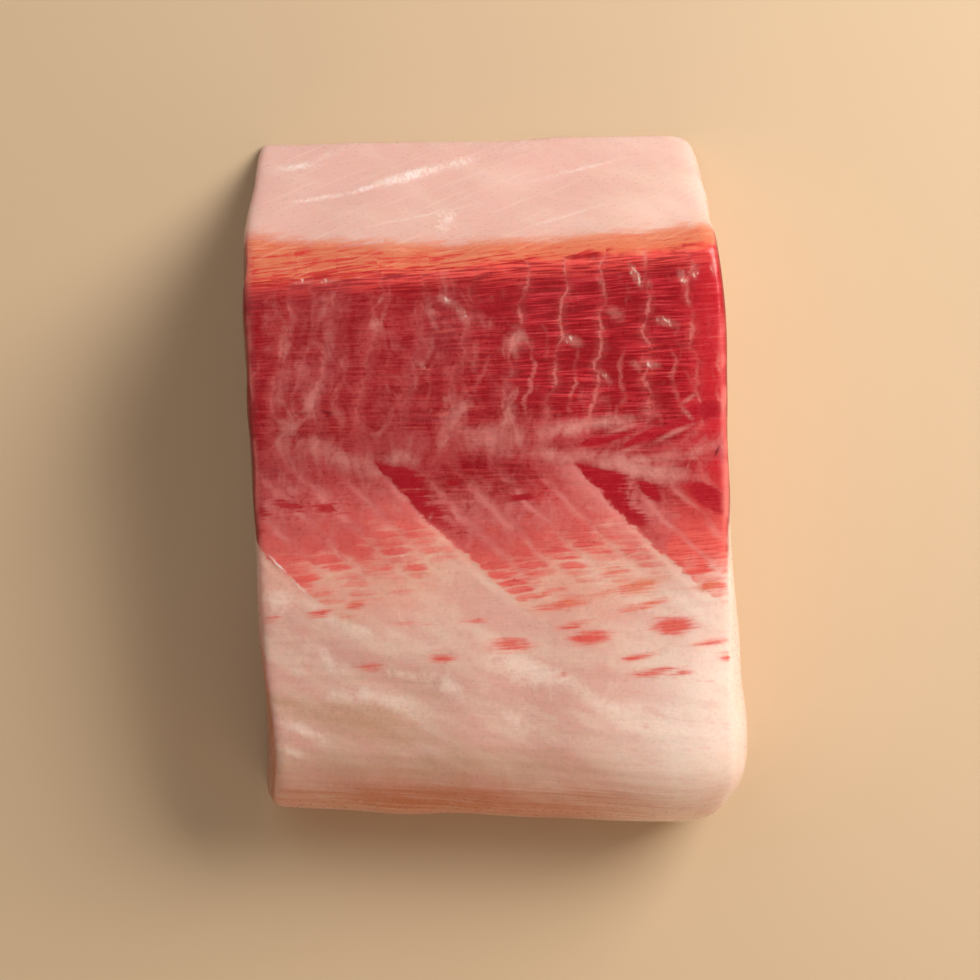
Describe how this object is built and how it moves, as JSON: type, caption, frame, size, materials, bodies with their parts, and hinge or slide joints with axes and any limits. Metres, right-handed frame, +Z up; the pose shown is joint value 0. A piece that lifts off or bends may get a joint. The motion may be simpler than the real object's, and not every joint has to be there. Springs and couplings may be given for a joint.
{
  "type": "yellowtail sashimi block",
  "caption": "Skinned block of raw yellowtail fillet with a long sloped cut, a rolled outer edge and a band of dark red muscle.",
  "frame": {"origin": "middle of the block's box, on the surface that it lies on", "axes": "+X along the fish and its muscle fibres, +Y across the fillet towards the long sloped cut, +Z up, from the bone side to the skin side"},
  "size_m": [0.0634, 0.088, 0.0263],
  "materials": {
    "raw_fish": "moist, soft gloss"
  },
  "bodies": {
    "root": {"fish_block": "raw_fish"}
  },
  "joints": []
}
